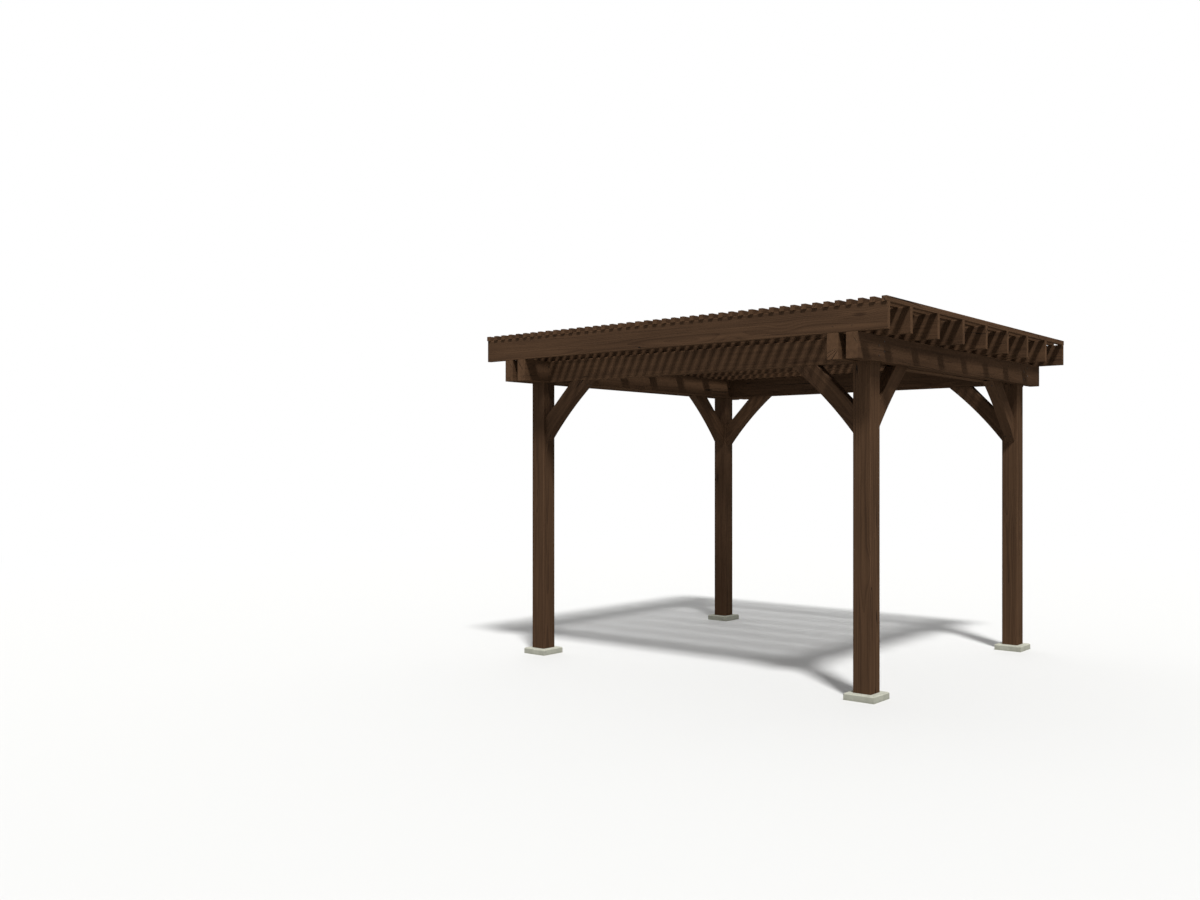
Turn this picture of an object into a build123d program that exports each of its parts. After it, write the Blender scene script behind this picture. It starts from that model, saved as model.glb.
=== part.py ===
"""A free-standing timber pergola: four notched posts on concrete pads, double side beams, two cross
beams, eight arched knee braces, nine rafters and a top layer of square slats.

Millimetres, +Z up. The origin lies on the ground under the middle of the four posts. X runs along
the rafters and cross beams, Y along the side beams and slats, and -Y is the front.
"""

from build123d import *

import os
from math import sqrt

os.makedirs("parts", exist_ok=True)

# Driving sizes

# Where the posts stand, and how high the roof is carried
post_spacing_x = 3180  # centre to centre, across the front
post_spacing_y = 2825  # centre to centre, front to back
clear_height = 2355  # from the top of a pad to the underside of the beams

# Concrete pads
pad_width = 240
pad_height = 50
pad_chamfer = 8

# Posts
post_width = 140
post_round = 4  # eased corners of the long edges
post_tongue = 60  # what the two notches leave between the beam boards

# Side beams, two boards on each row of posts
beam_thickness = 89
beam_height = 184
beam_overhang = 285  # past the face of the end posts

# Cross beams
cross_thickness = 89

# Knee braces, cut at 45 degrees
brace_thickness = 89
brace_width = 150  # at the ends, square to the brace
brace_leg = 520  # from the corner to the far edge, along the post and along the beam
brace_arch = 22  # how far the lower edge is hollowed at its middle

# Rafters
rafter_thickness = 38
rafter_height = 184
rafter_length = 3861
rafter_count = 9
rafter_front_bay = 347  # centre to centre of the first two; the others share the rest equally

# Top slats
slat_width = 38.1
slat_height = 38
slat_pitch = 88.9
slat_groups = 4
slat_overhang = 10  # past the faces of the first and the last rafter
slat_ease = 2

# Eased long edges of the sawn timber
edge_ease = 3

# Heights and lengths that follow

post_foot = pad_height
beam_bottom = post_foot + clear_height
beam_top = beam_bottom + beam_height
rafter_top = beam_top + rafter_height
beam_length = post_spacing_y + post_width + 2 * beam_overhang
roof_front = -beam_length / 2
roof_back = beam_length / 2
half_post = post_width / 2
beam_offset = post_tongue / 2 + beam_thickness / 2
slat_length = beam_length + 2 * slat_overhang
slat_span = rafter_length - slat_width
slat_count = round(slat_span / slat_pitch) + 1

corners = {
    "front_left": (-1, -1),
    "front_right": (1, -1),
    "back_left": (-1, 1),
    "back_right": (1, 1),
}


def corner_point(side_x, side_y):
    """The centre of a post in plan."""
    return (side_x * post_spacing_x / 2, side_y * post_spacing_y / 2)


def save(part, name):
    """Labels a finished piece and writes its file."""
    part.label = name
    export_step(part, f"parts/{name}.step")


# Concrete pads, square to the posts

for corner, (side_x, side_y) in corners.items():
    with BuildPart() as pad:
        with BuildSketch(Plane.XY):
            with Locations(corner_point(side_x, side_y)):
                Rectangle(pad_width, pad_width)
        extrude(amount=pad_height)
        chamfer(pad.faces().sort_by(Axis.Z)[-1].edges(), length=pad_chamfer)
    save(pad.part, f"pad_{corner}")

# Posts, notched on both sides so that the beam boards bear on the two shoulders

for corner, (side_x, side_y) in corners.items():
    centre_x, centre_y = corner_point(side_x, side_y)
    with BuildPart() as post:
        with BuildSketch(Plane.XY.offset(post_foot)):
            with Locations((centre_x, centre_y)):
                RectangleRounded(post_width, post_width, post_round)
        extrude(amount=beam_bottom - post_foot)
        with BuildSketch(Plane.XY.offset(beam_bottom)):
            with Locations((centre_x, centre_y)):
                Rectangle(post_tongue, post_width)
        extrude(amount=beam_height)
    save(post.part, f"post_{corner}")

# Side beams, a pair of boards on each row of posts, square cut at both ends

for row, side_x in (("left", -1), ("right", 1)):
    for place, out in (("outer", side_x), ("inner", -side_x)):
        board_x = side_x * post_spacing_x / 2 + out * beam_offset
        with BuildPart() as board:
            with BuildSketch(Plane.XZ.offset(-roof_back)):
                with Locations((board_x, beam_bottom + beam_height / 2)):
                    Rectangle(beam_thickness, beam_height)
            extrude(amount=beam_length)
            chamfer(board.edges().filter_by(Axis.Y), length=edge_ease)
        save(board.part, f"beam_{row}_{place}")

# Cross beams, between the inner boards and in line with the posts

cross_end = post_spacing_x / 2 - post_tongue / 2 - beam_thickness
for place, side_y in (("front", -1), ("back", 1)):
    with BuildPart() as cross:
        with BuildSketch(Plane.YZ.offset(-cross_end)):
            with Locations((side_y * post_spacing_y / 2, beam_bottom + beam_height / 2)):
                Rectangle(cross_thickness, beam_height)
        extrude(amount=2 * cross_end)
        chamfer(cross.edges().filter_by(Axis.X), length=edge_ease)
    save(cross.part, f"cross_beam_{place}")

# Knee braces, drawn once in the corner between a post and a beam: u runs out from the face of the
# post, v up to the underside of the beam, and the lower edge is a shallow hollow arc

brace_inner_leg = brace_leg - brace_width * sqrt(2)
brace_middle = (brace_leg / 2 - brace_arch / sqrt(2), -brace_leg / 2 + brace_arch / sqrt(2))


def brace_plane(corner_sides, along_x):
    """The middle plane of a brace: its x runs out from the post and its y runs up."""
    side_x, side_y = corner_sides
    centre_x, centre_y = corner_point(side_x, side_y)
    if along_x:
        start = (centre_x - side_x * half_post, centre_y, beam_bottom)
        out = (-side_x, 0, 0)
        normal = (0, side_x, 0)
    else:
        start = (centre_x, centre_y - side_y * half_post, beam_bottom)
        out = (0, -side_y, 0)
        normal = (-side_y, 0, 0)
    return Plane(origin=start, x_dir=out, z_dir=normal)


for corner, corner_sides in corners.items():
    for direction, along_x in (("cross", True), ("beam", False)):
        with BuildPart() as brace:
            with BuildSketch(brace_plane(corner_sides, along_x)):
                with BuildLine():
                    Line((0, -brace_inner_leg), (brace_inner_leg, 0))
                    Line((brace_inner_leg, 0), (brace_leg, 0))
                    ThreePointArc((brace_leg, 0), brace_middle, (0, -brace_leg))
                    Line((0, -brace_leg), (0, -brace_inner_leg))
                make_face()
            extrude(amount=brace_thickness / 2, both=True)
            hollow_edges = brace.edges().filter_by(GeomType.CIRCLE)
            upper_edges = brace.edges().filter_by(GeomType.LINE).group_by(SortBy.LENGTH)[-1]
            chamfer(hollow_edges + upper_edges, length=edge_ease)
        save(brace.part, f"brace_{corner}_{direction}")

# Rafters, the first and the last flush with the ends of the beams, with a short bay at the front

first_rafter = roof_front + rafter_thickness / 2
last_rafter = roof_back - rafter_thickness / 2
second_rafter = first_rafter + rafter_front_bay
rafter_pitch = (last_rafter - second_rafter) / (rafter_count - 2)
rafter_places = [first_rafter]
for number in range(rafter_count - 1):
    rafter_places.append(second_rafter + number * rafter_pitch)

for number, rafter_y in enumerate(rafter_places, start=1):
    with BuildPart() as rafter:
        with BuildSketch(Plane.YZ.offset(-rafter_length / 2)):
            with Locations((rafter_y, beam_top + rafter_height / 2)):
                Rectangle(rafter_thickness, rafter_height)
        extrude(amount=rafter_length)
        chamfer(rafter.edges().filter_by(Axis.X), length=edge_ease)
    save(rafter.part, f"rafter_{number}")

# Top slats, laid across the rafters and a little past the first and the last of them

slat_places = [number * slat_pitch - slat_span / 2 for number in range(slat_count)]
group_size = slat_count // slat_groups

for group in range(slat_groups):
    places = slat_places[group * group_size : (group + 1) * group_size]
    with BuildPart() as slats:
        with BuildSketch(Plane.XY.offset(rafter_top)):
            with Locations(*[(slat_x, 0) for slat_x in places]):
                Rectangle(slat_width, slat_length)
        extrude(amount=slat_height)
        chamfer(slats.edges().filter_by(Axis.Y), length=slat_ease)
    save(slats.part, f"slats_{group + 1}")
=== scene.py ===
# %% [markdown]
# # A timber pergola, dressed for a studio picture
#
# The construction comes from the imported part: pads, posts, beams, braces, rafters and slats at
# their real size. This lesson gives them their finish, a dark brown wood stain over sawn softwood
# and pale cast concrete. It adds the screws that hold such a frame together, and sets up the
# camera, the floor and the light. Everything is in metres, with Z up and the front facing -Y.

import math

import bpy
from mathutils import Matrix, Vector


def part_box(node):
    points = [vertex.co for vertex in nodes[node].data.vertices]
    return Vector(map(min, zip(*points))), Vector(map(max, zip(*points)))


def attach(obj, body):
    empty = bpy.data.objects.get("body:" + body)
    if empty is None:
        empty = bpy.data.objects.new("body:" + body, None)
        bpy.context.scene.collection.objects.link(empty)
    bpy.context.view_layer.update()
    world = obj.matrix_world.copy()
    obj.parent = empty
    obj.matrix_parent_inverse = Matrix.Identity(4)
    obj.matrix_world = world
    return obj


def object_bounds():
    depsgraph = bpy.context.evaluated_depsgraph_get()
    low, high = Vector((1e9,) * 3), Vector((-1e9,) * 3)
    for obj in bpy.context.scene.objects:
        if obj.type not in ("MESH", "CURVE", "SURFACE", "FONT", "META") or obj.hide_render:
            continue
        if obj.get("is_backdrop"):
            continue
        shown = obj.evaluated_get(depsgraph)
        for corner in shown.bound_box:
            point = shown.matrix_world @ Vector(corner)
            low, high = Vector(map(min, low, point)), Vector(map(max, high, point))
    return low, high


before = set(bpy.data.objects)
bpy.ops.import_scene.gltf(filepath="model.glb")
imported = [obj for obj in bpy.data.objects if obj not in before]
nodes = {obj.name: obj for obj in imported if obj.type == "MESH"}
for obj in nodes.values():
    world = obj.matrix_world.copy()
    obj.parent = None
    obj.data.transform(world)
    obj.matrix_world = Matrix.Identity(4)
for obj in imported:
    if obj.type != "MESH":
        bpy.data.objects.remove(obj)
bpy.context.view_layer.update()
bpy.ops.object.select_all(action="DESELECT")

# %% [markdown]
# ## The camera
#
# The view is from eye level, off the front right corner. A level camera keeps every post upright
# in the picture, so it only needs a turn about Z. The lens is a little wider than normal, and a
# small shift sets the horizon at its height in the frame.

# %% The camera
pad_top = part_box("pad_front_right")[1].z
eye_height = 1.613  # above the top of the pads
camera_place = (5.350, -8.664, pad_top + eye_height)
camera_level = math.radians(90)  # a camera looks down until it is turned up by this much
camera_turn = math.radians(39.12)
picture_width = 1200
focal_pixels = 1120.4
axis_right = 34.1  # pixels that the middle of the lens lies right of the middle of the picture
horizon_drop = 16.4  # and pixels that the horizon lies below it

camera_data = bpy.data.cameras.new("camera")
camera_data.sensor_fit = "HORIZONTAL"
camera_data.sensor_width = 36  # millimetres, as the lens is
camera_data.lens = camera_data.sensor_width * focal_pixels / picture_width
camera_data.shift_x = -axis_right / picture_width
camera_data.shift_y = horizon_drop / picture_width
camera = bpy.data.objects.new("camera", camera_data)
camera.location = camera_place
camera.rotation_euler = (camera_level, 0, camera_turn)
bpy.context.scene.collection.objects.link(camera)
bpy.context.scene.camera = camera
print("lens:", round(camera_data.lens, 2), "mm, height:", round(camera.location.z, 3), "m")

# %% [markdown]
# ## Helpers for node materials
#
# A node material is a small machine: coordinates go in, pass through patterns and sums, and come
# out as colour, roughness and relief. The nodes could be placed by hand, but a finish of fifty of
# them is hard to read and to change. These helpers take one line a node, so a finish reads as a
# list of what it is made of.


# %% One node, one link, one sum
def add_node(tree, kind, inputs=None, **settings):
    """A node with its settings and the plain values of its input sockets."""
    node = tree.nodes.new(kind)
    for name, value in settings.items():
        setattr(node, name, value)
    for socket, value in (inputs or {}).items():
        node.inputs[socket].default_value = value
    return node


def feed(tree, source, socket):
    """Give an input socket either a link or a plain value."""
    if isinstance(source, bpy.types.NodeSocket):
        tree.links.new(source, socket)
    else:
        socket.default_value = source


def calculate(tree, operation, *values):
    """A Math node on sockets and plain numbers."""
    node = add_node(tree, "ShaderNodeMath", operation=operation)
    for index, value in enumerate(values):
        feed(tree, value, node.inputs[index])
    return node.outputs[0]


def move(tree, operation, *vectors):
    """A Vector Math node on sockets and plain vectors."""
    node = add_node(tree, "ShaderNodeVectorMath", operation=operation)
    for index, vector in enumerate(vectors):
        feed(tree, vector, node.inputs[index])
    return node.outputs["Value"] if operation == "DOT_PRODUCT" else node.outputs[0]


def add_up(tree, total, parts):
    """A sum of patterns, each times its own weight, on top of a first value."""
    for pattern, weight in parts:
        total = calculate(tree, "ADD", total, calculate(tree, "MULTIPLY", pattern, weight))
    return total


print("helpers for single nodes and sums are ready")


# %% Patterns and blends
def step(tree, value, low, high, start=0.0, end=1.0):
    """A smooth step: start below low, end above high."""
    node = add_node(tree, "ShaderNodeMapRange", interpolation_type="SMOOTHSTEP")
    for socket, part in zip(("Value", "From Min", "From Max"), (value, low, high)):
        feed(tree, part, node.inputs[socket])
    feed(tree, start, node.inputs["To Min"])
    feed(tree, end, node.inputs["To Max"])
    return node.outputs["Result"]


def mist(tree, vector, stretch, detail=2.0, roughness=0.5):
    """A Noise texture, with how many of its lumps fit in a metre along each axis."""
    node = add_node(
        tree, "ShaderNodeTexNoise", {"Scale": 1.0, "Detail": detail, "Roughness": roughness}
    )
    feed(tree, move(tree, "MULTIPLY", vector, stretch), node.inputs["Vector"])
    return node


def blend_colour(tree, amount, first, second):
    """A mix of two colours by an amount from 0 to 1."""
    node = add_node(tree, "ShaderNodeMix", data_type="RGBA", clamp_factor=True)
    feed(tree, amount, node.inputs["Factor"])
    feed(tree, first, node.inputs["A"])
    feed(tree, second, node.inputs["B"])
    return node.outputs["Result"]


print("helpers for patterns and blends are ready")


# %% A material and its relief
def new_material(name, inputs):
    """A node material, with the plain values of its main shader."""
    material = bpy.data.materials.new(name)
    material.use_nodes = True
    shader = material.node_tree.nodes["Principled BSDF"]
    for socket, value in inputs.items():
        shader.inputs[socket].default_value = value
    return material, material.node_tree, shader


def add_relief(tree, shader, height, depth):
    """A Bump node that turns a height into small slopes, with its depth in metres."""
    bump = add_node(tree, "ShaderNodeBump", {"Strength": 1.0, "Distance": depth})
    feed(tree, height, bump.inputs["Height"])
    feed(tree, bump.outputs["Normal"], shader.inputs["Normal"])


def put_on(name, material):
    """Give a CAD node this one material."""
    slots = nodes[name].data.materials
    slots.clear()
    slots.append(material)


print("helpers for materials are ready")

# %% [markdown]
# ## The grain of the timber
#
# A board is cut out of a log, so all its sides show one thing: growth rings, which are circles
# about the pith that run the whole length of the log. A pattern laid flat on each side would break
# at every edge. A solid pattern doesn't: it gives lines and pointed arches on the long faces and
# arcs on the sawn ends, all at once. It works in board coordinates, with X along the grain and the
# middle of the section at zero.
#
# A ring starts with pale early wood, darkens to late wood and stops at a sharp line, which is the
# saw profile of a Wave texture. A slow sway bends the rings as a real log does, and knots, the
# cells of a stretched Voronoi texture, push them aside.

# %% Rings and knots
rings_in_a_metre = 125
wave_constant = 20 / math.tau  # rings that a Wave texture of scale 1 draws in a metre
knots = (1.7, 6.0, 6.0)  # how many fit in a metre, along the grain and across it
knot_push = 0.014  # how many metres a knot pushes the rings aside
sway_waves = (0.5, 3.0, 3.0)
sway_reach = 0.07


def grow_rings(tree, log):
    """From a place in the log: the same place with the rings bent, the late wood and the knots."""
    cells = add_node(tree, "ShaderNodeTexVoronoi", {"Scale": 1.0})
    feed(tree, move(tree, "MULTIPLY", log, knots), cells.inputs["Vector"])
    knot = step(tree, cells.outputs["Distance"], 0.05, 0.13, 1.0, 0.0)
    push = step(tree, cells.outputs["Distance"], 0.0, 0.42, knot_push, 0.0)
    sway = mist(tree, log, sway_waves).outputs["Color"]
    sway = move(tree, "SUBTRACT", sway, (0.5, 0.5, 0.5))
    sway = move(tree, "MULTIPLY", sway, (0.0, sway_reach, sway_reach))
    bent = move(tree, "ADD", move(tree, "ADD", log, sway), push)
    rings = add_node(
        tree,
        "ShaderNodeTexWave",
        {"Scale": rings_in_a_metre / wave_constant},
        wave_type="RINGS",
        rings_direction="X",
        wave_profile="SAW",
    )
    feed(tree, bent, rings.inputs["Vector"])
    late_wood = step(tree, rings.outputs["Fac"], 0.35, 0.97)
    return bent, late_wood, knot


print("one ring each", round(1000 / rings_in_a_metre, 1), "mm")

# %% [markdown]
# ## How the wood took the stain
#
# Stain soaks in unevenly. Fine fibres hold it in hairlines, streaks follow the rings for a metre
# or more, and broad clouds show where the brush left more or less. These are three Noise textures,
# stretched along the grain by different amounts.

# %% Fibres, streaks and clouds
fibre_lines = (6.0, 420.0, 420.0)
streak_lines = (0.9, 36.0, 36.0)
cloud_spots = (1.0, 5.0, 5.0)


def soak_in(tree, log, bent):
    """The patterns of the stain, from the finest to the broadest."""
    fibres = mist(tree, log, fibre_lines, 3.0, 0.6).outputs["Fac"]
    streaks = mist(tree, bent, streak_lines, 3.0, 0.55).outputs["Fac"]
    clouds = mist(tree, log, cloud_spots, 4.0, 0.55).outputs["Fac"]
    return fibres, streaks, clouds


print("fibres in a metre:", fibre_lines[1])

# %% [markdown]
# ## Drying checks and lighter edges, partly painted light
#
# Heavy timber cracks as it dries: in long thin lines on its faces, and from the pith outwards on
# its ends. They are too many and too thin to cut into a mesh. A Noise texture crosses its middle
# value along thin lines, so those lines are the cracks, and a second, broader texture keeps them
# to a few places. The cracks are coloured near black, which is painted shade inside them. Along
# the edges the colour is lighter. Part of this is wear and weather that have rubbed the stain
# thin, and part is a painted highlight where the rounded edge catches light.

# %% Cracks
crack_lines = (0.5, 17.0, 17.0)
crack_spots = (1.4, 9.0, 9.0)
end_spokes = (1.0, 5.0, 5.0)  # these are counted round the pith


def thin_line(tree, pattern, width):
    """1 where a pattern crosses its middle value, and 0 beside it."""
    away = calculate(tree, "ABSOLUTE", calculate(tree, "SUBTRACT", pattern, 0.5))
    return step(tree, away, 0.002, width, 1.0, 0.0)


def dry_out(tree, log, bent, end):
    """Cracks: along the grain on a long face, and radial where end is 1."""
    place = mist(tree, log, crack_spots, 1.0).outputs["Fac"]
    line = mist(tree, bent, crack_lines, 1.0).outputs["Fac"]
    crack_long = thin_line(tree, line, 0.008)
    crack_long = calculate(tree, "MULTIPLY", crack_long, step(tree, place, 0.56, 0.64))
    spoke = move(tree, "NORMALIZE", move(tree, "MULTIPLY", log, (0.0, 1.0, 1.0)))
    spoke = mist(tree, spoke, end_spokes, 1.0).outputs["Fac"]
    crack_end = thin_line(tree, spoke, 0.010)
    crack_end = calculate(tree, "MULTIPLY", crack_end, step(tree, place, 0.48, 0.60))
    return calculate(
        tree,
        "ADD",
        calculate(tree, "MULTIPLY", crack_long, calculate(tree, "SUBTRACT", 1.0, end)),
        calculate(tree, "MULTIPLY", crack_end, end),
    )


print("crack lines in a metre:", crack_lines[1])

# %% Edges: rubbed stain and painted highlight
edge_wear_and_highlight_reach = 0.014  # the widest lighter strip along an edge, in metres: partly rubbed stain, partly painted highlight


def worn_and_highlighted_edges(tree, board, half, clouds):
    """1 on the long edges, where both sides of the section are near. The lighter strip there is
    partly rubbed stain and partly a painted highlight.
    """
    gap = move(tree, "SUBTRACT", half, move(tree, "ABSOLUTE", board))
    gap_parts = add_node(tree, "ShaderNodeSeparateXYZ")
    feed(tree, gap, gap_parts.inputs["Vector"])
    edge = calculate(tree, "MAXIMUM", gap_parts.outputs["Y"], gap_parts.outputs["Z"])
    return step(tree, edge, 0.001, calculate(tree, "MULTIPLY", clouds, edge_wear_and_highlight_reach), 1.0, 0.0)


print("widest rubbed strip:", edge_wear_and_highlight_reach, "m")

# %% [markdown]
# ## The stained timber group
#
# All of this is needed by every member, so it goes into one node group, which each material then
# calls. The patterns add up to one number, how thinly the stain lies, and the lighter edges in it
# are partly a painted highlight. It blends the deep brown to the thin one, and the same patterns
# give the roughness and the relief.

# %% The stained timber group
stain_deep = (0.0352, 0.0178, 0.0091, 1)
stain_thin = (0.141, 0.0770, 0.0410, 1)
# The crack colour is near black: painted shade inside the cracks
crack_shade_colour = (0.010, 0.006, 0.004, 1)


def timber_group():
    """Board coordinates in, and colour, roughness and height out."""
    tree = bpy.data.node_groups.new("stained_timber", "ShaderNodeTree")
    for name, kind in (("Board", "Vector"), ("Shift", "Vector"), ("Half", "Vector")):
        tree.interface.new_socket(name, in_out="INPUT", socket_type="NodeSocket" + kind)
    for name in ("End", "Tone"):
        tree.interface.new_socket(name, in_out="INPUT", socket_type="NodeSocketFloat")
    for name, kind in (("Colour", "Color"), ("Roughness", "Float"), ("Height", "Float")):
        tree.interface.new_socket(name, in_out="OUTPUT", socket_type="NodeSocket" + kind)
    given = add_node(tree, "NodeGroupInput").outputs
    result = add_node(tree, "NodeGroupOutput").inputs

    log = move(tree, "ADD", given["Board"], given["Shift"])  # the place, counted from the pith
    bent, late_wood, knot = grow_rings(tree, log)
    fibres, streaks, clouds = soak_in(tree, log, bent)
    crack = dry_out(tree, log, bent, given["End"])
    edge_wear_and_highlight = worn_and_highlighted_edges(tree, given["Board"], given["Half"], clouds)

    # How thinly the stain lies, from 0 for deep to 1 for thin; the edge term in it is partly a
    # painted highlight
    thin = calculate(tree, "ADD", given["Tone"], 0.5)
    for pattern, weight in ((fibres, 0.34), (streaks, 0.8), (clouds, 0.5)):
        thin = add_up(tree, thin, ((calculate(tree, "SUBTRACT", pattern, 0.5), weight),))
    # The edge term lightens the long edges: partly rubbed stain, partly a painted highlight
    marks = ((late_wood, -0.2), (knot, -0.35), (given["End"], 0.27), (edge_wear_and_highlight, 0.2))
    thin = add_up(tree, thin, marks)
    colour = blend_colour(tree, thin, stain_deep, stain_thin)
    # Painted shade: the cracks take a near-black colour that stands in for the shade inside them
    colour = blend_colour(tree, crack, colour, crack_shade_colour)
    feed(tree, colour, result["Colour"])
    feed(tree, step(tree, thin, 0.0, 1.0, 0.74, 0.56), result["Roughness"])

    height = calculate(tree, "MULTIPLY", fibres, 0.35)
    ridges = ((late_wood, 0.25), (streaks, 0.3), (knot, 0.2), (crack, -1.2))
    feed(tree, add_up(tree, height, ridges), result["Height"])
    return tree


timber = timber_group()
print("nodes in the timber group:", len(timber.nodes))

# %% [markdown]
# ## One finish for each member
#
# Two boards never match. One material for all of them would run the same rings through the whole
# frame, so each member gets its own, which calls the group with its own pith and its own depth of
# stain. A Mapping node moves and turns the object's coordinates into board coordinates. Posts are
# boxed heart, cut with the pith near the middle, so their faces show straight lines. Beams, braces
# and rafters are cut beside the pith, so theirs show arches.
#
# A penetrating stain leaves a satin wood surface that doesn't mirror. The gloss of the main shader
# grows towards a mirror at grazing angles, which would paint pale strips on the undersides. So it
# is turned off, and a thin constant share of rough gloss is mixed in.

# %% Stain one member
relief_depth = 0.0016  # metres between the lowest and the highest fibre
satin_sheen = 0.006  # the share of gloss in the surface
grain_turn = {
    "x": (0, 0, 0),
    "y": (0, 0, math.radians(90)),
    "z": (0, math.radians(-90), 0),
}


def stain_shader(name):
    """A material whose shader is set up for satin wood stain, with its grain group."""
    material, tree, shader = new_material(name, {"Specular IOR Level": 0.0})
    grain = add_node(tree, "ShaderNodeGroup")
    grain.node_tree = timber
    feed(tree, grain.outputs["Colour"], shader.inputs["Base Color"])
    feed(tree, grain.outputs["Roughness"], shader.inputs["Roughness"])
    add_relief(tree, shader, grain.outputs["Height"], relief_depth)
    sheen = add_node(tree, "ShaderNodeBsdfGlossy", {"Color": (1, 1, 1, 1)})
    feed(tree, grain.outputs["Roughness"], sheen.inputs["Roughness"])
    add_relief(tree, sheen, grain.outputs["Height"], relief_depth)
    surface = add_node(tree, "ShaderNodeMixShader", {"Fac": satin_sheen})
    feed(tree, shader.outputs["BSDF"], surface.inputs[1])
    feed(tree, sheen.outputs["BSDF"], surface.inputs[2])
    feed(tree, surface.outputs["Shader"], tree.nodes["Material Output"].inputs["Surface"])
    return material, tree, grain


def end_grain(tree, coordinates, direction):
    """1 on a face that is sawn across the grain and 0 along it."""
    facing = move(tree, "DOT_PRODUCT", coordinates.outputs["Normal"], direction)
    return step(tree, calculate(tree, "ABSOLUTE", facing), 0.85, 0.95)


def stain_member(name, turn, along, half, pith, tone, middle):
    """Stain one node, given its grain direction, half section, pith and depth of stain."""
    material, tree, grain = stain_shader("stained_" + name)
    coordinates = add_node(tree, "ShaderNodeTexCoord")
    board = add_node(
        tree, "ShaderNodeMapping", {"Location": middle, "Rotation": turn}, vector_type="TEXTURE"
    )
    feed(tree, coordinates.outputs["Object"], board.inputs["Vector"])
    feed(tree, board.outputs["Vector"], grain.inputs["Board"])
    grain.inputs["Shift"].default_value = pith
    grain.inputs["Half"].default_value = half
    grain.inputs["Tone"].default_value = tone
    feed(tree, end_grain(tree, coordinates, along), grain.inputs["End"])
    put_on(name, material)


print("share of gloss:", satin_sheen, "depth of relief:", relief_depth, "m")

# %% The luck of each board
log_step = 3.7  # metres along the log from the place of one member to that of the next
pith_spread_y = 0.4  # as a share of the distance
pith_spread_z = 0.03  # in metres


def board_luck(number, spread):
    """A repeatable value between -spread and spread, by large numbers that share no factor."""
    return spread * math.sin(number * 12.9898 + 4.1414 * math.cos(number * 7.233))


def middle_and_half(name):
    """The middle of a node's box and half of its size."""
    low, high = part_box(name)
    return (low + high) / 2, (high - low) / 2


print("luck of three boards:", [round(board_luck(number, 1), 2) for number in (0, 1, 2)])


# %% Stain the straight members
def stain_row(names, axis, pith_y, pith_z, tone_spread):
    """Stain members with one grain direction, each with its own luck."""
    for name in names:
        number = sorted(nodes).index(name)
        middle, half = middle_and_half(name)
        section = {
            "x": (0, half.y, half.z),
            "y": (0, half.x, half.z),
            "z": (0, half.y, half.x),
        }[axis]
        along = {"x": (1, 0, 0), "y": (0, 1, 0), "z": (0, 0, 1)}[axis]
        pith = (
            number * log_step,
            pith_y * (1 + board_luck(number, pith_spread_y)),
            pith_z + board_luck(number + 0.5, pith_spread_z),
        )
        tone = board_luck(number + 0.25, tone_spread)
        stain_member(name, grain_turn[axis], along, section, pith, tone, middle)
    print("stained along", axis, ":", len(names))


corners = ("front_left", "front_right", "back_left", "back_right")
posts = ["post_" + corner for corner in corners]
side_beams = [f"beam_{side}_{place}" for side in ("left", "right") for place in ("outer", "inner")]
cross_beams = ["cross_beam_front", "cross_beam_back"]
rafters = sorted(name for name in nodes if name.startswith("rafter_"))
stain_row(posts, "z", pith_y=0.018, pith_z=0.01, tone_spread=0.05)
stain_row(side_beams, "y", pith_y=0.07, pith_z=0.03, tone_spread=0.06)
stain_row(cross_beams, "x", pith_y=0.07, pith_z=0.03, tone_spread=0.06)
stain_row(rafters, "x", pith_y=0.06, pith_z=0.04, tone_spread=0.07)

# %% [markdown]
# ## The braces
#
# A brace is sawn out of a straight board, so its grain runs from the post to the beam at 45
# degrees and is cut across by its two mitred ends. Each brace turns its board coordinates by that
# angle, away from its own post.

# %% Stain the braces
brace_width = 0.150
brace_slope = math.radians(45)
brace_pith_y = 0.07
brace_pith_z = 0.03
brace_pith_spread = 0.02
brace_tone_spread = 0.06


def stain_brace(corner, carries):
    """Stain the brace of one corner that holds up the cross beam or the side beam."""
    name = f"brace_{corner}_{carries}"
    post_middle = middle_and_half("post_" + corner)[0]
    middle, half = middle_and_half(name)
    outward = (middle - post_middle) * Vector((1, 1, 0))
    outward.normalize()
    along = (outward + Vector((0, 0, 1))).normalized()
    across = (outward - Vector((0, 0, 1))).normalized()
    heart = middle - across * brace_width / 2
    heading = math.atan2(outward.y, outward.x)
    number = sorted(nodes).index(name)
    stain_member(
        name,
        (0, -brace_slope, heading),
        tuple(along),
        (0, min(half.x, half.y), brace_width / 2),
        (
            number * log_step,
            brace_pith_y + board_luck(number, brace_pith_spread),
            brace_pith_z + board_luck(number + 0.5, pith_spread_z),
        ),
        board_luck(number + 0.25, brace_tone_spread),
        heart,
    )


for corner in corners:
    for carries in ("cross", "beam"):
        stain_brace(corner, carries)
print("braces stained:", 2 * len(corners))

# %% [markdown]
# ## The slats
#
# Each slat node holds eleven slats, which were cut from different boards. The material counts
# slats from their pitch: the number of the slat under a point, put through a White Noise texture,
# picks a new pith and a new depth of stain, so neighbours differ as they do on a real roof.

# %% Stain the slats
slat_pitch = 0.0889
slat_nodes = sorted(name for name in nodes if name.startswith("slats_"))
first_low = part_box("slats_1")[0]
slat_width = 0.0381
slat_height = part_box("slats_1")[1].z - first_low.z
slat_shift = (40.0, 0.12, 0.12)  # how far apart the piths of two slats may lie
slat_tone_spread = 0.22


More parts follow.
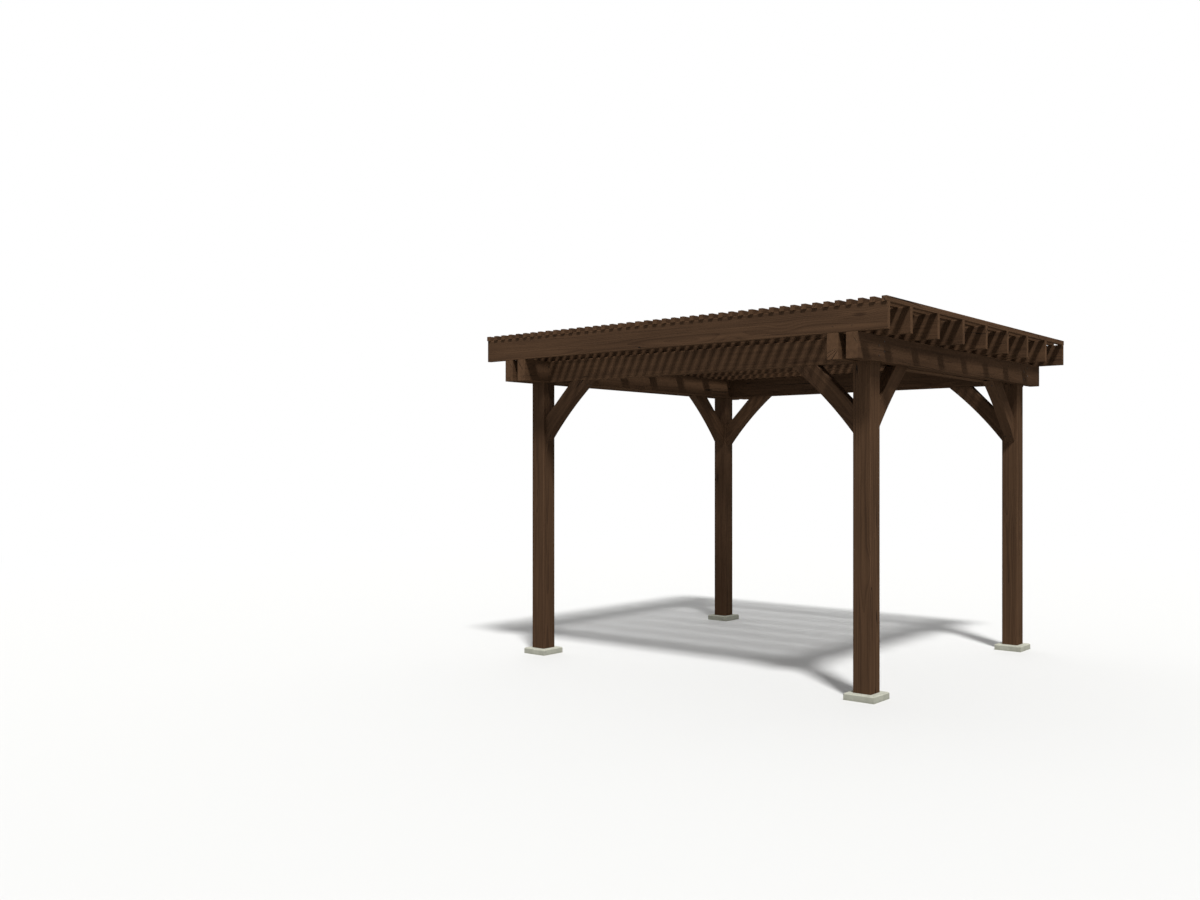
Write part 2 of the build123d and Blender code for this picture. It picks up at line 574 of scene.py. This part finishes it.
def stain_slats():
    """One material for all slats, which tells them apart by their place."""
    material, tree, grain = stain_shader("stained_slats")
    coordinates = add_node(tree, "ShaderNodeTexCoord")
    parts = add_node(tree, "ShaderNodeSeparateXYZ")
    feed(tree, coordinates.outputs["Object"], parts.inputs["Vector"])
    first_middle = first_low.x + slat_width / 2
    count = calculate(tree, "DIVIDE", parts.outputs["X"], slat_pitch)
    count = calculate(tree, "SUBTRACT", count, first_middle / slat_pitch - 0.5)
    count = calculate(tree, "FLOOR", count)
    slat_middle = calculate(tree, "MULTIPLY_ADD", count, slat_pitch, first_middle)
    board = add_node(tree, "ShaderNodeCombineXYZ")
    feed(tree, parts.outputs["Y"], board.inputs["X"])
    feed(
        tree, calculate(tree, "SUBTRACT", slat_middle, parts.outputs["X"]), board.inputs["Y"]
    )
    middle_height = first_low.z + slat_height / 2
    feed(
        tree, calculate(tree, "SUBTRACT", parts.outputs["Z"], middle_height), board.inputs["Z"]
    )
    feed(tree, board.outputs["Vector"], grain.inputs["Board"])
    luck = add_node(tree, "ShaderNodeTexWhiteNoise", noise_dimensions="1D")
    feed(tree, count, luck.inputs["W"])
    shift = move(tree, "SUBTRACT", luck.outputs["Color"], (0.5, 0.5, 0.5))
    shift = move(tree, "MULTIPLY", shift, slat_shift)
    feed(tree, shift, grain.inputs["Shift"])
    tone = calculate(tree, "SUBTRACT", luck.outputs["Value"], 0.5)
    feed(tree, calculate(tree, "MULTIPLY", tone, slat_tone_spread), grain.inputs["Tone"])
    grain.inputs["Half"].default_value = (0, slat_width / 2, slat_height / 2)
    feed(tree, end_grain(tree, coordinates, (0, 1, 0)), grain.inputs["End"])
    for name in slat_nodes:
        put_on(name, material)


stain_slats()
print("slat nodes stained:", len(slat_nodes), "pitch:", slat_pitch)

# %% [markdown]
# ## The concrete pads
#
# The pads are cast in small forms. Cement paste gives a pale grey skin with a faint warm tone,
# sand shows through it as fine specks, and air leaves small pits. Damp from below changes the tone
# of the foot. Sand and pits are too small to model, so they are relief in the material, and only
# the chamfer of the top is in the solid. The pits are also coloured darker, which is painted shade
# inside them.

# %% Cast concrete
concrete_dark = (0.33, 0.33, 0.27, 1)
concrete_pale = (0.60, 0.60, 0.505, 1)
patches_in_a_metre = 14.0
sand_in_a_metre = 520.0
pits_in_a_metre = 70.0
damp_height = 0.02
concrete_relief = 0.002


def cast_concrete():
    """The finish of all four pads."""
    material, tree, shader = new_material("cast_concrete", {"Specular IOR Level": 0.3})
    coordinates = add_node(tree, "ShaderNodeTexCoord").outputs["Object"]
    patches = mist(tree, coordinates, (patches_in_a_metre,) * 3, 5.0, 0.6).outputs["Fac"]
    sand = mist(tree, coordinates, (sand_in_a_metre,) * 3, 2.0, 0.7).outputs["Fac"]
    pits = add_node(tree, "ShaderNodeTexVoronoi", {"Scale": pits_in_a_metre})
    feed(tree, coordinates, pits.inputs["Vector"])
    pit_size = calculate(tree, "MULTIPLY", patches, 0.3)
    pit_depth_and_shade = step(tree, pits.outputs["Distance"], 0.06, pit_size, 1.0, 0.0)
    parts = add_node(tree, "ShaderNodeSeparateXYZ")
    feed(tree, coordinates, parts.inputs["Vector"])
    damp = step(tree, parts.outputs["Z"], 0.0, damp_height, 1.0, 0.0)
    pale = calculate(tree, "MULTIPLY_ADD", patches, 1.1, -0.1)
    # Painted shade: the pits are coloured darker where shade would fall inside them
    pale = add_up(tree, pale, ((sand, 0.5), (pit_depth_and_shade, -0.35), (damp, -0.3)))
    pale = calculate(tree, "SUBTRACT", pale, 0.15)
    colour = blend_colour(tree, pale, concrete_dark, concrete_pale)
    feed(tree, colour, shader.inputs["Base Color"])
    feed(tree, step(tree, patches, 0.3, 0.7, 0.95, 0.8), shader.inputs["Roughness"])
    height = calculate(tree, "MULTIPLY", sand, 0.5)
    height = calculate(tree, "SUBTRACT", height, pit_depth_and_shade)
    add_relief(tree, shader, height, concrete_relief)
    for corner in corners:
        put_on("pad_" + corner, material)


cast_concrete()
print("pads cast:", len(corners))

# %% [markdown]
# ## The screws
#
# Such a frame is held by dark coated timber screws. Two kinds are enough: a heavy one with a broad
# washer head, which pulls the beams onto the posts and the braces into their corners, and a slim
# one with a flat head for slats and rafters. They could be dark dots in the material, but a head
# catches light on its rim, and a file of the mesh would lack it. Each head is modelled once from a
# low cylinder. Its rim is rounded with a bevel, and its drive recess is inset and pushed in.

# %% The dark coating of the screws
coating_dark = (0.022, 0.013, 0.008, 1)
coating_rubbed = (0.060, 0.042, 0.030, 1)
grime_in_a_metre = 260.0
coating_relief = 0.0002


def screw_coating():
    """Dark bronze coating, rubbed a little on the high spots."""
    material, tree, shader = new_material(
        "coated_steel", {"Metallic": 0.35, "Specular IOR Level": 0.2}
    )
    coordinates = add_node(tree, "ShaderNodeTexCoord").outputs["Object"]
    grime = mist(tree, coordinates, (grime_in_a_metre,) * 3, 3.0, 0.6).outputs["Fac"]
    colour = blend_colour(tree, step(tree, grime, 0.45, 0.7), coating_dark, coating_rubbed)
    feed(tree, colour, shader.inputs["Base Color"])
    feed(tree, step(tree, grime, 0.3, 0.7, 0.38, 0.6), shader.inputs["Roughness"])
    add_relief(tree, shader, grime, coating_relief)
    return material


coated_steel = screw_coating()
print("material:", coated_steel.name)


# %% Select faces by a test
def select_faces(piece, wanted):
    """In edit mode, select only the faces that pass a test."""
    bpy.ops.object.mode_set(mode="OBJECT")
    mesh = piece.data
    for part in (*mesh.edges, *mesh.vertices):
        part.select = False
    for face in mesh.polygons:
        face.select = wanted(face)
        if face.select:
            for index in face.vertices:
                mesh.vertices[index].select = True
    bpy.ops.object.mode_set(mode="EDIT")


print("faces can be picked by their direction")

# %% Model a screw head
recess_share = 0.6  # of the height of the head
recess_taper = 0.8  # how wide the floor of the recess is against its mouth


def screw_head(name, sides, radius, height, rim, recess, rim_segments):
    """A round head that looks up, with a rounded rim and a drive recess in its top."""
    bpy.ops.object.select_all(action="DESELECT")
    bpy.ops.mesh.primitive_cylinder_add(
        vertices=sides, radius=radius, depth=height, location=(0, 0, height / 2)
    )
    piece = bpy.context.object
    piece.name = name
    bpy.ops.object.transform_apply(location=True)
    bpy.ops.object.mode_set(mode="EDIT")
    bpy.ops.mesh.select_mode(type="FACE")
    select_faces(piece, lambda face: face.normal.z > 0.9)
    bpy.ops.mesh.bevel(offset=rim, segments=rim_segments, affect="EDGES")
    select_faces(piece, lambda face: face.normal.z > 0.99)
    bpy.ops.mesh.inset(thickness=radius - rim - recess)
    floor_drop = (0, 0, -height * recess_share)
    bpy.ops.mesh.extrude_region_move(TRANSFORM_OT_translate={"value": floor_drop})
    bpy.ops.transform.resize(value=(recess_taper, recess_taper, 1))
    select_faces(piece, lambda face: face.normal.z < -0.9)
    bpy.ops.mesh.delete(type="ONLY_FACE")
    bpy.ops.object.mode_set(mode="OBJECT")
    piece.data.materials.append(coated_steel)
    print(name, "faces:", len(piece.data.polygons))
    return piece


heavy_head = screw_head(
    "heavy_head",
    sides=20,
    radius=0.0065,
    height=0.0030,
    rim=0.0010,
    recess=0.0024,
    rim_segments=2,
)
slim_head = screw_head(
    "slim_head",
    sides=12,
    radius=0.0042,
    height=0.0012,
    rim=0.0004,
    recess=0.0018,
    rim_segments=1,
)

# %% [markdown]
# ## Seats for the heads
#
# A screw is driven until its head meets the wood. Its place could be worked out from the sizes,
# but that is hard on the hollow edge of a brace. Instead a ray is sent from outside along the
# screw, and the head sits where the ray meets the CAD surface. Copies of the modelled head are
# turned to face out of the wood and joined to one piece for each part of the frame, so that the
# list of objects stays short.


# %% Find a seat and fill it
ray_start = 0.3  # how far outside the wood a ray begins
same_corner = 0.00001  # corners of a mesh nearer than this are one
smooth_below = math.radians(40)  # an edge sharper than this stays sharp


def seat(node, start, direction):
    """The point where a ray from start meets a node, and the way back along the ray."""
    direction = Vector(direction).normalized()
    hit, point = nodes[node].ray_cast(Vector(start), direction)[:2]
    if not hit:
        raise ValueError(f"the ray to {node} misses it")
    return point, -direction


def drive(name, head, seats, sunk):
    """One piece made of copies of a head, one on each seat, sunk a little into the wood."""
    bpy.ops.object.select_all(action="DESELECT")
    copies = []
    for point, outward in seats:
        copy = bpy.data.objects.new(name, head.data.copy())
        bpy.context.scene.collection.objects.link(copy)
        turn = outward.to_track_quat("Z", "Y").to_matrix().to_4x4()
        turn.translation = point - outward * sunk
        copy.data.transform(turn)
        copy.select_set(True)
        copies.append(copy)
    bpy.context.view_layer.objects.active = copies[0]
    bpy.ops.object.join()
    piece = bpy.context.object
    piece.name = name
    bpy.ops.object.mode_set(mode="EDIT")
    bpy.ops.mesh.select_all(action="SELECT")
    bpy.ops.mesh.remove_doubles(threshold=same_corner)
    bpy.ops.mesh.normals_make_consistent(inside=False)
    bpy.ops.object.mode_set(mode="OBJECT")
    bpy.ops.object.shade_smooth_by_angle(angle=smooth_below)
    piece.select_set(False)
    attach(piece, "root")
    print(name, "heads:", len(seats), "faces:", len(piece.data.polygons))


# %% [markdown]
# ## Beam screws
#
# The two boards of a side beam are pulled onto the tongue of each post. Outside, four screws stand
# in a zigzag, so that no two share a line of grain and the end of the post can't split. Inside,
# the cross beam covers the middle, so the screws stand to each side of it.

# %% Screws through the side beams
beam_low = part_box("beam_right_outer")[0].z
beam_screw_sunk = 0.0004

# Places from the middle of the post and from the underside of the beam
outer_pattern = ((-0.042, 0.040), (0.042, 0.074), (-0.042, 0.110), (0.042, 0.146))
inner_pattern = ((-0.057, 0.050), (0.057, 0.050), (-0.057, 0.136), (0.057, 0.136))
for corner in corners:
    side = corner.split("_")[1]
    outward = 1 if side == "right" else -1
    middle = middle_and_half("post_" + corner)[0]
    places = []
    sides = (("outer", outer_pattern, outward), ("inner", inner_pattern, -outward))
    for place, pattern, way in sides:
        for along_y, up in pattern:
            start = (middle.x + way * ray_start, middle.y + along_y, beam_low + up)
            places.append(seat(f"beam_{side}_{place}", start, (-way, 0, 0)))
    drive("beam_screws_" + corner, heavy_head, places, beam_screw_sunk)

# %% [markdown]
# ## Brace screws
#
# A brace is screwed through its hollow edge at both ends: square to the edge, the screw crosses
# the corner of the brace and enters the post or the beam at 45 degrees. Two stand side by side at
# each end.

# %% Screws through the braces
brace_screw_gap = 0.044  # between the two screws at one end
brace_screw_reach = 0.062  # from each end, measured along the lower edge
brace_screw_sunk = 0.0006
for corner in corners:
    places = []
    post_low, post_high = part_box("post_" + corner)
    post_middle = (post_low + post_high) / 2
    for carries in ("cross", "beam"):
        name = f"brace_{corner}_{carries}"
        low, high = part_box(name)
        middle = (low + high) / 2
        outward = ((middle - post_middle) * Vector((1, 1, 0))).normalized()
        leg = high.z - low.z
        foot = Vector((middle.x, middle.y, low.z)) - outward * leg / 2
        along = (outward + Vector((0, 0, 1))).normalized()
        out_of_edge = (outward - Vector((0, 0, 1))).normalized()
        sideways = along.cross(out_of_edge)
        edge_length = leg * math.sqrt(2)
        for reach in (brace_screw_reach, edge_length - brace_screw_reach):
            for shift in (-brace_screw_gap / 2, brace_screw_gap / 2):
                start = foot + along * reach + sideways * shift + out_of_edge * ray_start
                places.append(seat(name, start, -out_of_edge))
    drive("brace_screws_" + corner, heavy_head, places, brace_screw_sunk)

# %% [markdown]
# ## Rafter and cross beam screws
#
# A rafter stands on the beams and is toe screwed: on each side of it a slim screw goes down at a
# slant into the beam board. The cross beams hang between the inner boards on screws of the same
# kind, two on each side of each end.

# %% Toe screws
toe_height = 0.046  # from the end or the underside of the timber
toe_slant = math.radians(50)  # from the face of the wood
toe_sunk = 0.0009
cross_screw_heights = (0.045, 0.135)
beam_lines = [middle_and_half(name)[0].x for name in side_beams]
for name in rafters:
    low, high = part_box(name)
    middle = (low + high) / 2
    places = []
    for line in beam_lines:
        for way in (-1, 1):
            start = (line, middle.y + way * ray_start, low.z + toe_height)
            point, face_out = seat(name, start, (0, -way, 0))
            tilted = face_out * math.sin(toe_slant) + Vector((0, 0, math.cos(toe_slant)))
            places.append((point, tilted))
    drive("toe_screws_" + name, slim_head, places, toe_sunk)

for name in cross_beams:
    low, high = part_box(name)
    middle = (low + high) / 2
    places = []
    for end in (-1, 1):
        end_x = high.x if end == 1 else low.x
        for way in (-1, 1):
            for up in cross_screw_heights:
                start = (end_x - end * toe_height, middle.y + way * ray_start, low.z + up)
                point, face_out = seat(name, start, (0, -way, 0))
                tilted = face_out * math.sin(toe_slant) - Vector((end, 0, 0)) * math.cos(toe_slant)
                places.append((point, tilted))
    drive("toe_screws_" + name, slim_head, places, toe_sunk)

# %% [markdown]
# ## Slat screws
#
# Every slat is held by one screw on every rafter, driven from above and left flush. The seats are
# found by the same ray, straight down, at each crossing of a slat and a rafter.

# %% Screws through the slats
slat_screw_sunk = 0.0010
roof_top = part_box("slats_1")[1].z
rafter_lines = [middle_and_half(name)[0].y for name in rafters]
for name in slat_nodes:
    low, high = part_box(name)
    slats_here = round((high.x - low.x - slat_width) / slat_pitch) + 1
    places = []
    for count in range(slats_here):
        slat_x = low.x + slat_width / 2 + count * slat_pitch
        for line in rafter_lines:
            places.append(seat(name, (slat_x, line, roof_top + ray_start), (0, 0, -1)))
    drive("slat_screws_" + name[-1], slim_head, places, slat_screw_sunk)

# Every head on the frame is a copy, so the two models can go
bpy.data.objects.remove(heavy_head)
bpy.data.objects.remove(slim_head)

# %% [markdown]
# ## The floor
#
# A plain pale floor takes the shadow. Far from the object it fades to the white of the background,
# so no horizon line cuts the picture. Light Path tells the kinds of rays apart: the floor is pale
# where it is looked at and darker for the light that it throws back, because a white floor would
# fill the shade under the roof that gives such a frame its depth.

# %% The floor
floor_reach = 60
fade_start = 6.0  # metres from the middle of the pergola
fade_end = 16.0
floor_colour = (0.73, 0.73, 0.72, 1)
floor_bounce = (0.32, 0.32, 0.31, 1)  # how much light the floor throws back onto the timber


def looked_at(tree):
    """1 for a ray from the camera, a mirror or glass, and 0 for light on its way to the wood."""
    rays = add_node(tree, "ShaderNodeLightPath").outputs
    seen = calculate(tree, "MAXIMUM", rays["Is Camera Ray"], rays["Is Glossy Ray"])
    return calculate(tree, "MAXIMUM", seen, rays["Is Transmission Ray"])


bpy.ops.mesh.primitive_circle_add(vertices=96, radius=floor_reach, fill_type="NGON")
floor = bpy.context.object
floor.name = "floor"
floor_material, floor_tree, floor_shader = new_material("pale_floor", {"Roughness": 0.9})
floor_place = add_node(floor_tree, "ShaderNodeTexCoord").outputs["Object"]
distance = add_node(floor_tree, "ShaderNodeVectorMath", operation="LENGTH")
feed(floor_tree, floor_place, distance.inputs[0])
seen = looked_at(floor_tree)
floor_tone = blend_colour(floor_tree, seen, floor_bounce, floor_colour)
feed(floor_tree, floor_tone, floor_shader.inputs["Base Color"])
fade = step(floor_tree, distance.outputs["Value"], fade_start, fade_end)
white = add_node(floor_tree, "ShaderNodeEmission", {"Color": (1, 1, 1, 1), "Strength": 1.0})
meet = add_node(floor_tree, "ShaderNodeMixShader")
feed(floor_tree, calculate(floor_tree, "MULTIPLY", fade, seen), meet.inputs["Fac"])
feed(floor_tree, floor_shader.outputs["BSDF"], meet.inputs[1])
feed(floor_tree, white.outputs["Emission"], meet.inputs[2])
floor_output = floor_tree.nodes["Material Output"]
feed(floor_tree, meet.outputs["Shader"], floor_output.inputs["Surface"])
floor.data.materials.append(floor_material)
floor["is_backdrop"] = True
print("floor radius:", floor_reach, "m")

# %% [markdown]
# ## The world and the lamps
#
# The world lights everything evenly with a soft white, and shows as plain white only where it is
# looked at. Two lamps of the sun kind give parallel light. The first comes from the front right,
# high up, and is narrow enough to lay the pattern of the slats on the timber below them. The
# second stands opposite. It is weak and so wide that it casts no edge, and the sides that face
# away from the first one keep their grain.

# %% The world
world_light = 0.20
world = bpy.data.worlds.new("studio")
bpy.context.scene.world = world
world.use_nodes = True
world_tree = world.node_tree
soft = world_tree.nodes["Background"]
soft.inputs["Color"].default_value = (1, 1, 1, 1)
soft.inputs["Strength"].default_value = world_light
backdrop = add_node(world_tree, "ShaderNodeBackground", {"Color": (1, 1, 1, 1), "Strength": 1.0})
meet = add_node(world_tree, "ShaderNodeMixShader")
feed(world_tree, looked_at(world_tree), meet.inputs["Fac"])
feed(world_tree, soft.outputs["Background"], meet.inputs[1])
feed(world_tree, backdrop.outputs["Background"], meet.inputs[2])
world_output = world_tree.nodes["World Output"]
feed(world_tree, meet.outputs["Shader"], world_output.inputs["Surface"])
print("world light:", world_light)

# %% The lamps
def parallel_lamp(name, towards, strength, width):
    """A sun lamp, given where it stands, its strength and how wide it looks in degrees."""
    data = bpy.data.lights.new(name, "SUN")
    data.energy = strength
    data.angle = math.radians(width)
    lamp = bpy.data.objects.new(name, data)
    lamp.rotation_euler = Vector(towards).to_track_quat("Z", "Y").to_euler()
    bpy.context.scene.collection.objects.link(lamp)
    print(name, "strength:", strength)


parallel_lamp("main_lamp", towards=(0.48, -0.42, 1.0), strength=3.55, width=7)
parallel_lamp("fill_lamp", towards=(-0.6, 0.7, 0.5), strength=1.0, width=100)
bpy.context.scene.view_settings.view_transform = "Standard"

# %% [markdown]
# ## The size
#
# Screws and finish must not make the pergola bigger than the part, so the box of everything that
# is shown, the floor left out, is measured.

# %% Sizes
low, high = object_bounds()
